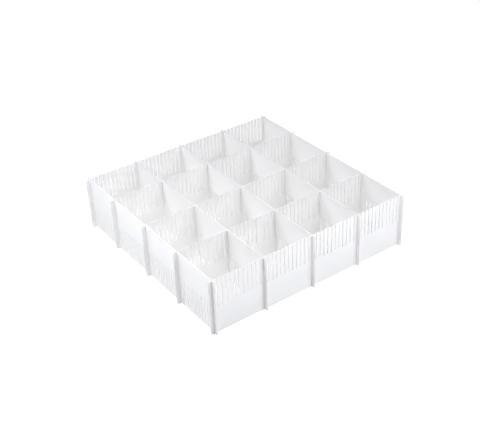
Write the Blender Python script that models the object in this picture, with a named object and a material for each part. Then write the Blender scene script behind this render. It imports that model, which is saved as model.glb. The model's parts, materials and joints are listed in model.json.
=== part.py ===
"""Drawer organizer insert: an egg-crate grid of ten identical slotted plastic strips.

Every strip is the same moulding, a flat bar with a comb of half-depth slots along one long
edge. Five base strips run along X and stand with their slots up. Five cross strips run along
Y, are turned over so that their slots point down, and drop onto the base strips. Where two
strips cross, each one's slot straddles the other's solid half, so both stand on the same
surface with their edges level. Each cross strip lifts straight up out of the grid.

Metres, +Z up. The origin is at the centre of the grid, on the surface that it stands on.
"""

from math import cos, pi, radians, sin

import bmesh
import bpy

# Strip moulding
STRIP_LENGTH = 0.280
STRIP_HEIGHT = 0.070
STRIP_THICKNESS = 0.0010
PITCHES_PER_STRIP = 50
SLOT_WIDTH = 0.0012
LAP_GAP = 0.0003  # left between the ends of two interlocked slots
LEAD_IN_WIDTH = 0.0003  # chamfer at each side of a slot's mouth
LEAD_IN_DEPTH = 0.0006
CORNER_RADIUS = 0.0015
CORNER_SEGMENTS = 4

# Slot numbers, counted from a strip's end, that the crossing strips sit in
CROSS_STRIP_SLOTS = (1, 13, 25, 37, 49)  # along a base strip, left to right
BASE_STRIP_SLOTS = (1, 13, 25, 38, 49)  # along a cross strip, front to back

# Moulded white polypropylene
PLASTIC_COLOUR = (0.90, 0.905, 0.91, 1.0)
PLASTIC_ROUGHNESS = 0.38

PITCH = STRIP_LENGTH / PITCHES_PER_STRIP
SLOT_DEPTH = (STRIP_HEIGHT + LAP_GAP) / 2
HALF_LENGTH = STRIP_LENGTH / 2
HALF_HEIGHT = STRIP_HEIGHT / 2
HALF_SLOT = SLOT_WIDTH / 2


def clear_scene():
    for obj in list(bpy.data.objects):
        bpy.data.objects.remove(obj)


def slot_position(number):
    """Distance along a strip from its middle to the middle of this slot."""
    return number * PITCH - HALF_LENGTH


def make_plastic():
    plastic = bpy.data.materials.new("white_polypropylene")
    plastic.use_nodes = True
    shader = plastic.node_tree.nodes["Principled BSDF"]
    shader.inputs["Base Color"].default_value = PLASTIC_COLOUR
    shader.inputs["Roughness"].default_value = PLASTIC_ROUGHNESS
    shader.inputs["Metallic"].default_value = 0.0
    plastic.diffuse_color = PLASTIC_COLOUR
    return plastic


def corner_arc(side, level, first_angle):
    """Points of one rounded corner, a quarter turn anticlockwise from first_angle in degrees."""
    centre_along = side * (HALF_LENGTH - CORNER_RADIUS)
    centre_up = level * (HALF_HEIGHT - CORNER_RADIUS)
    points = []
    for step in range(CORNER_SEGMENTS + 1):
        angle = radians(first_angle) + step * pi / 2 / CORNER_SEGMENTS
        points.append(
            (centre_along + CORNER_RADIUS * cos(angle), centre_up + CORNER_RADIUS * sin(angle))
        )
    return points


def slot_outline(middle):
    """Points round one open slot, from its right lip down, across its end and up to its left lip."""
    wall_top = HALF_HEIGHT - LEAD_IN_DEPTH
    slot_end = HALF_HEIGHT - SLOT_DEPTH
    lip = HALF_SLOT + LEAD_IN_WIDTH
    right_side = [(lip, HALF_HEIGHT), (HALF_SLOT, wall_top), (HALF_SLOT, slot_end)]
    left_side = [(-along, up) for along, up in reversed(right_side)]
    return [(middle + along, up) for along, up in right_side + left_side]


def strip_outline():
    """The strip's side view, anticlockwise: length along X, height along Z, centred on the origin."""
    outline = corner_arc(-1, -1, 180) + corner_arc(1, -1, 270) + corner_arc(1, 1, 0)
    for number in range(PITCHES_PER_STRIP - 1, 0, -1):
        outline += slot_outline(slot_position(number))
    return outline + corner_arc(-1, 1, 90)


def make_strip_mesh(plastic):
    """The moulding that all ten strips share, slots up, centred on the origin."""
    shape = bmesh.new()
    side = shape.faces.new(
        shape.verts.new((along, -STRIP_THICKNESS / 2, up)) for along, up in strip_outline()
    )
    pulled = bmesh.ops.extrude_face_region(shape, geom=[side])
    moved = [item for item in pulled["geom"] if isinstance(item, bmesh.types.BMVert)]
    bmesh.ops.translate(shape, vec=(0, STRIP_THICKNESS, 0), verts=moved)
    bmesh.ops.recalc_face_normals(shape, faces=shape.faces)
    mesh = bpy.data.meshes.new("slotted_strip")
    shape.to_mesh(mesh)
    shape.free()
    mesh.materials.append(plastic)
    return mesh


def add_strip(name, mesh, group, location, rotation):
    strip = bpy.data.objects.new(name, mesh)
    bpy.context.scene.collection.objects.link(strip)
    strip.location = location
    strip.rotation_euler = rotation
    strip.parent = group
    return strip


def add_group(name):
    group = bpy.data.objects.new(name, None)
    bpy.context.scene.collection.objects.link(group)
    group.empty_display_size = PITCH
    return group


def main():
    clear_scene()
    mesh = make_strip_mesh(make_plastic())

    base = add_group("base_strips")
    slots_up = (0, 0, 0)
    for number, slot in enumerate(BASE_STRIP_SLOTS, start=1):
        place = (0, slot_position(slot), HALF_HEIGHT)
        add_strip(f"base_strip_{number}", mesh, base, place, slots_up)

    # Each cross strip's origin lies on the vertical line that it lifts along.
    cross = add_group("cross_strips")
    slots_down_along_y = (pi, 0, pi / 2)
    for number, slot in enumerate(CROSS_STRIP_SLOTS, start=1):
        place = (slot_position(slot), 0, HALF_HEIGHT)
        add_strip(f"cross_strip_{number}", mesh, cross, place, slots_down_along_y)


main()
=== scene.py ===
"""Looks of the drawer organizer insert: ten moulded strips, a pale floor and soft studio light.

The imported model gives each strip's place and size. Each strip is shown as one finer moulding,
with rounded edges, rounded slot ends and a lead-in at every slot's mouth, that rides on the body
of the node it replaces. Lengths are in metres and +Z is up.
"""

import json
from math import cos, pi, radians, sin

import bmesh
import bpy
from mathutils import Matrix, Vector

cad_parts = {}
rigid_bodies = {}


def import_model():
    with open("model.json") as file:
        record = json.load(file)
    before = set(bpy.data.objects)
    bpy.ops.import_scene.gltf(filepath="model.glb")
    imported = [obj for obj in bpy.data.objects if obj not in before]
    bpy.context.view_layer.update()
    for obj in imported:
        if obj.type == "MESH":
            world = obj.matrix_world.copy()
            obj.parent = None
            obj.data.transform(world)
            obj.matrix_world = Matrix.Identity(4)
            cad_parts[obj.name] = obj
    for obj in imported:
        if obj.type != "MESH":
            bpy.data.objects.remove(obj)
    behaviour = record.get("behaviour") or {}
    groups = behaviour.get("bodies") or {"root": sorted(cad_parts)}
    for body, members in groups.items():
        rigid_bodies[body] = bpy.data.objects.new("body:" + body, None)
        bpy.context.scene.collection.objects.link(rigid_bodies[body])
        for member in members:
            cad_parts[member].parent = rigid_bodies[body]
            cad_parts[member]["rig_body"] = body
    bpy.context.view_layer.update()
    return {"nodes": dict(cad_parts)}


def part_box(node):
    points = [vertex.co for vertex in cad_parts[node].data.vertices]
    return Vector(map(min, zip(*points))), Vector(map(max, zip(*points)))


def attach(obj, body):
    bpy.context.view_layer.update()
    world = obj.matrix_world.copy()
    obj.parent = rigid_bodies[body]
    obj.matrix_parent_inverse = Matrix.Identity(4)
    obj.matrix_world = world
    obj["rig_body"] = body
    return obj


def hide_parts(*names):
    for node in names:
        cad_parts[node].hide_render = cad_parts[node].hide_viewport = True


# The moulding's fine shape
PITCHES_PER_STRIP = 50
SLOT_WIDTH = 0.0012
LAP_GAP = 0.0003
CORNER_RADIUS = 0.0015
TOOTH_RADIUS = 0.0005
SLOT_END_RADIUS = 0.0005
EDGE_RADIUS = 0.00016
ARC_STEPS = 4
EDGE_STEPS = 3

# The plastic's skin. Sizes and heights are in metres, and stretches are along X, Y and Z of a strip.
# A span is the part of a noise's 0 to 1 that is spread over the whole effect.
PLASTIC_TINTS = (0.877, 0.866, 0.849, 1), (0.893, 0.884, 0.869, 1)
PLASTIC_IOR = 1.49
UNSTRETCHED = (1, 1, 1)
FLOW_SIZE, FLOW_STRETCH = 0.020, (0.5, 1, 1)
FLOW_DETAIL, FLOW_SPAN = 3.0, (0.35, 0.65)
CLOUD_SIZE, CLOUD_SPAN = 0.009, (0.3, 0.7)
SATIN_ROUGHNESS = (0.36, 0.47)
WAVE_SIZE, WAVE_DETAIL, WAVE_HEIGHT = 0.030, 0.0, 0.00025
PEEL_SIZE, PEEL_DETAIL, PEEL_HEIGHT = 0.0011, 1.0, 0.00002
RUB_SIZE, RUB_STRETCH = 0.0016, (0.08, 1, 1)
RUB_DETAIL, RUB_HARSHNESS, RUB_SPAN = 4.0, 0.6, (0.62, 0.75)
RUB_ROUGHNESS, RUB_HEIGHT = 0.09, 0.00003
NOISE_SPREAD = 50.0  # how far apart in the noise's fourth dimension the strips' patterns lie

# Sockets of Blender's Mix node that colours use, which share their names with other sockets
MIX_FIRST_COLOUR, MIX_SECOND_COLOUR, MIX_RESULT = 6, 7, 2

# The floor: its paper's painted glow, which stands in for studio light falling on it, grows from its
# least at the first distance to 1 at the second
FLOOR_RADIUS, FLOOR_SIDES = 6, 96
PAPER_COLOUR, PAPER_ROUGHNESS = (0.93, 0.93, 0.93, 1), 0.9
GLOW_START, GLOW_END, GLOW_LEAST = 0.25, 0.70, 0.25

# Soft lights round the grid: place and size in metres, power in watts. The powers were fitted to the
# photograph's tones and rounded.
LIGHT_COLOUR = (0.915, 0.937, 1.0)
LIGHT_AIM = Vector((0, 0, 0.03))
LIGHT_BOUNCES = 14
LIGHTS = {
    "left": ((-0.50, 0.00, 0.40), 0.30, 0.4),
    "back_left": ((-0.50, 0.25, 0.40), 0.30, 0.3),
    "low_left": ((-0.78, 0.00, 0.17), 0.50, 0.3),
    "back_right": ((0.50, 0.30, 0.30), 0.40, 2.4),
    "front_right": ((0.28, -0.59, 0.46), 0.50, 2.4),
    "near_front": ((0.00, -0.35, 0.35), 0.25, 0.5),
    "near_left": ((-0.25, -0.10, 0.35), 0.20, 0.5),
    "near_back_left": ((-0.25, 0.20, 0.40), 0.25, 0.9),
}

# Camera
CAMERA_AIM = Vector((-0.0053, -0.0028, 0.035))
CAMERA_DISTANCE = 1.1193
CAMERA_AZIMUTH = radians(34.307)
CAMERA_ELEVATION = radians(32.544)
CAMERA_ROLL = radians(-2.555)
CAMERA_LENS = 68.61
SENSOR_WIDTH = 36.0


def arc(centre, radius, first_angle, sweep, steps=ARC_STEPS):
    """Points along an arc in the strip's side view, from first_angle through sweep, in degrees."""
    points = []
    for step in range(steps + 1):
        angle = radians(first_angle + sweep * step / steps)
        points.append((centre[0] + radius * cos(angle), centre[1] + radius * sin(angle)))
    return points


def slot_outline(middle, half_height, inset):
    """Round one open slot, from its right-hand tooth, down, across its end, and up."""
    half_slot = SLOT_WIDTH / 2 + inset
    top = half_height - inset
    end = -LAP_GAP / 2 - inset
    tooth = TOOTH_RADIUS - inset
    bend = SLOT_END_RADIUS + inset
    points = arc((middle + half_slot + tooth, top - tooth), tooth, 90, 90)
    points += arc((middle + half_slot - bend, end + bend), bend, 0, -90)
    points += arc((middle - half_slot + bend, end + bend), bend, -90, -90)
    points += arc((middle - half_slot - tooth, top - tooth), tooth, 0, 90)
    return points


def strip_outline(length, height, inset):
    """The strip's side view, anticlockwise, with every edge moved into the plastic by inset."""
    half_length, half_height = length / 2 - inset, height / 2 - inset
    radius = CORNER_RADIUS - inset
    across, up = half_length - radius, half_height - radius
    outline = arc((-across, -up), radius, 180, 90) + arc((across, -up), radius, 270, 90)
    outline += arc((across, up), radius, 0, 90)
    for number in range(PITCHES_PER_STRIP - 1, 0, -1):
        middle = number * length / PITCHES_PER_STRIP - length / 2
        outline += slot_outline(middle, height / 2, inset)
    return outline + arc((-across, up), radius, 90, 90)


def strip_mesh(length, height, thickness):
    """The moulding, slots up and centred on the origin: rings of outline with rounded edges."""
    shape = bmesh.new()
    rings = []
    for side in (-1, 1):
        outward = range(EDGE_STEPS + 1)
        steps = outward if side < 0 else reversed(outward)
        for step in steps:
            angle = pi / 2 * step / EDGE_STEPS
            inset = EDGE_RADIUS * (1 - sin(angle))
            depth = side * (thickness / 2 - EDGE_RADIUS * (1 - cos(angle)))
            outline = strip_outline(length, height, inset)
            rings.append([shape.verts.new((along, depth, up)) for along, up in outline])
    for near, far in zip(rings, rings[1:]):
        for index in range(len(near)):
            after = (index + 1) % len(near)
            shape.faces.new((near[index], near[after], far[after], far[index]))
    caps = [shape.faces.new(rings[0]), shape.faces.new(rings[-1])]
    bmesh.ops.recalc_face_normals(shape, faces=shape.faces)
    for face in shape.faces:
        face.smooth = True
    for cap in caps:
        cap.smooth = False
        for edge in cap.edges:
            edge.smooth = False
    mesh = bpy.data.meshes.new("moulded_strip")
    shape.to_mesh(mesh)
    shape.free()
    return mesh


def add_strips(nodes, plastic):
    for name in sorted(nodes):
        low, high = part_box(name)
        size, middle = high - low, (low + high) / 2
        lies_along_y = size.y > size.x
        length, thickness = (size.y, size.x) if lies_along_y else (size.x, size.y)
        strip = bpy.data.objects.new(f"{name}_moulding", strip_mesh(length, size.z, thickness))
        bpy.context.scene.collection.objects.link(strip)
        strip.data.materials.append(plastic)
        strip.location = middle
        if lies_along_y:
            strip.rotation_euler = (pi, 0, pi / 2)
        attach(strip, nodes[name]["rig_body"])
        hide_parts(name)


def add_node(material, kind, inputs=None, **settings):
    """Adds a shader node. A node given as an input's value is linked from its first output."""
    tree = material.node_tree
    node = tree.nodes.new(kind)
    for name, value in settings.items():
        setattr(node, name, value)
    for name, value in (inputs or {}).items():
        set_input(material, node, name, value)
    return node


def set_input(material, node, name, value):
    socket = node.inputs[name]
    if isinstance(value, bpy.types.Node):
        value = value.outputs[0]
    if isinstance(value, bpy.types.NodeSocket):
        material.node_tree.links.new(value, socket)
    else:
        socket.default_value = value


def add_noise(material, stretch, size, detail=2.0, roughness=0.5):
    """Noise with blobs of this size in metres, fixed to its strip and different on every strip."""
    strip = add_node(material, "ShaderNodeObjectInfo")
    place = add_node(material, "ShaderNodeTexCoord").outputs["Object"]
    stretched = add_node(material, "ShaderNodeMapping", {"Vector": place, "Scale": stretch})
    chance = add_node(
        material,
        "ShaderNodeMath",
        {0: strip.outputs["Random"], 1: NOISE_SPREAD},
        operation="MULTIPLY",
    )
    return add_node(
        material,
        "ShaderNodeTexNoise",
        {
            "Vector": stretched,
            "W": chance,
            "Scale": 1 / size,
            "Detail": detail,
            "Roughness": roughness,
        },
        noise_dimensions="4D",
    )


def add_range(material, value, low, high, new_low, new_high):
    return add_node(
        material,
        "ShaderNodeMapRange",
        {
            "Value": value,
            "From Min": low,
            "From Max": high,
            "To Min": new_low,
            "To Max": new_high,
        },
    )


def make_plastic():
    """White moulded polypropylene: a satin skin with flow marks, orange peel and light rubs."""
    plastic = bpy.data.materials.new("white_polypropylene_look")
    plastic.use_nodes = True
    shader = plastic.node_tree.nodes["Principled BSDF"]
    shader.inputs["IOR"].default_value = PLASTIC_IOR

    flow = add_noise(plastic, FLOW_STRETCH, FLOW_SIZE, detail=FLOW_DETAIL)
    tint = add_node(
        plastic,
        "ShaderNodeMix",
        {"Factor": add_range(plastic, flow, *FLOW_SPAN, 0.0, 1.0)},
        data_type="RGBA",
    )
    tint.inputs[MIX_FIRST_COLOUR].default_value = PLASTIC_TINTS[0]
    tint.inputs[MIX_SECOND_COLOUR].default_value = PLASTIC_TINTS[1]
    set_input(plastic, shader, "Base Color", tint.outputs[MIX_RESULT])

    cloud = add_noise(plastic, UNSTRETCHED, CLOUD_SIZE)
    rub = add_noise(plastic, RUB_STRETCH, RUB_SIZE, detail=RUB_DETAIL, roughness=RUB_HARSHNESS)
    satin = add_range(plastic, cloud, *CLOUD_SPAN, *SATIN_ROUGHNESS)
    rubbed = add_range(plastic, rub, *RUB_SPAN, 0.0, RUB_ROUGHNESS)
    skin = add_node(plastic, "ShaderNodeMath", {0: satin, 1: rubbed}, operation="ADD")
    set_input(plastic, shader, "Roughness", skin)

    surface = None
    for texture, height in (
        (add_noise(plastic, UNSTRETCHED, WAVE_SIZE, detail=WAVE_DETAIL), WAVE_HEIGHT),
        (add_noise(plastic, UNSTRETCHED, PEEL_SIZE, detail=PEEL_DETAIL), PEEL_HEIGHT),
        (rubbed, RUB_HEIGHT),
    ):
        inputs = {"Height": texture, "Distance": height}
        if surface:
            inputs["Normal"] = surface
        surface = add_node(plastic, "ShaderNodeBump", inputs)
    set_input(plastic, shader, "Normal", surface)
    return plastic


def make_paper_with_painted_glow():
    """White paper with a painted glow: it emits light, more the farther it is from the grid,
    standing in for studio light falling on the paper.
    """
    paper = bpy.data.materials.new("white_paper_painted_glow")
    paper.use_nodes = True
    shader = paper.node_tree.nodes["Principled BSDF"]
    shader.inputs["Base Color"].default_value = PAPER_COLOUR
    shader.inputs["Roughness"].default_value = PAPER_ROUGHNESS
    shader.inputs["Emission Color"].default_value = (1, 1, 1, 1)
    place = add_node(paper, "ShaderNodeTexCoord").outputs["Object"]
    distance = add_node(paper, "ShaderNodeVectorMath", {0: place}, operation="LENGTH")
    # Painted light: the paper's glow is dimmest near the grid and full far off, in place of studio
    # light on the paper.
    glow = add_range(paper, distance.outputs["Value"], GLOW_START, GLOW_END, GLOW_LEAST, 1.0)
    set_input(paper, shader, "Emission Strength", glow)
    return paper


def add_floor():
    bpy.ops.mesh.primitive_circle_add(
        vertices=FLOOR_SIDES, radius=FLOOR_RADIUS, fill_type="NGON"
    )
    floor = bpy.context.object
    floor.name = "floor"
    floor.data.materials.append(make_paper_with_painted_glow())


def add_lights():
    for name, (place, size, power) in LIGHTS.items():
        light = bpy.data.lights.new(name, "AREA")
        light.shape = "SQUARE"
        light.size = size
        light.energy = power
        light.color = LIGHT_COLOUR
        lamp = bpy.data.objects.new(name, light)
        bpy.context.scene.collection.objects.link(lamp)
        lamp.location = place
        lamp.rotation_euler = (Vector(place) - LIGHT_AIM).to_track_quat("Z", "Y").to_euler()
        lamp.visible_camera = False


def add_backdrop():
    """A white surround that the camera sees and that adds no light of its own."""
    world = bpy.data.worlds.new("white_surround")
    world.use_nodes = True
    world.node_tree.nodes["Background"].inputs["Color"].default_value = (1, 1, 1, 1)
    bpy.context.scene.world = world
    seen_by = world.cycles_visibility
    seen_by.diffuse = seen_by.glossy = seen_by.transmission = seen_by.scatter = False


def set_light_paths():
    """White walls facing each other need many bounces, and plain tones keep the paper white."""
    scene = bpy.context.scene
    scene.view_settings.view_transform = "Standard"
    scene.cycles.max_bounces = scene.cycles.diffuse_bounces = LIGHT_BOUNCES


def add_camera():
    look = Vector((
        sin(CAMERA_AZIMUTH) * cos(CAMERA_ELEVATION),
        cos(CAMERA_AZIMUTH) * cos(CAMERA_ELEVATION),
        -sin(CAMERA_ELEVATION),
    ))
    level = Vector((cos(CAMERA_AZIMUTH), -sin(CAMERA_AZIMUTH), 0))
    upright = level.cross(look)
    right = level * cos(CAMERA_ROLL) + upright * sin(CAMERA_ROLL)
    up = right.cross(look)
    data = bpy.data.cameras.new("camera")
    data.sensor_width = SENSOR_WIDTH
    data.lens = CAMERA_LENS
    camera = bpy.data.objects.new("camera", data)
    bpy.context.scene.collection.objects.link(camera)
    turn = Matrix((right, up, -look)).transposed()
    place = CAMERA_AIM - look * CAMERA_DISTANCE
    camera.matrix_world = Matrix.Translation(place) @ turn.to_4x4()
    bpy.context.scene.camera = camera


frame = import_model()
set_light_paths()
add_strips(frame["nodes"], make_plastic())
add_floor()
add_lights()
add_backdrop()
add_camera()
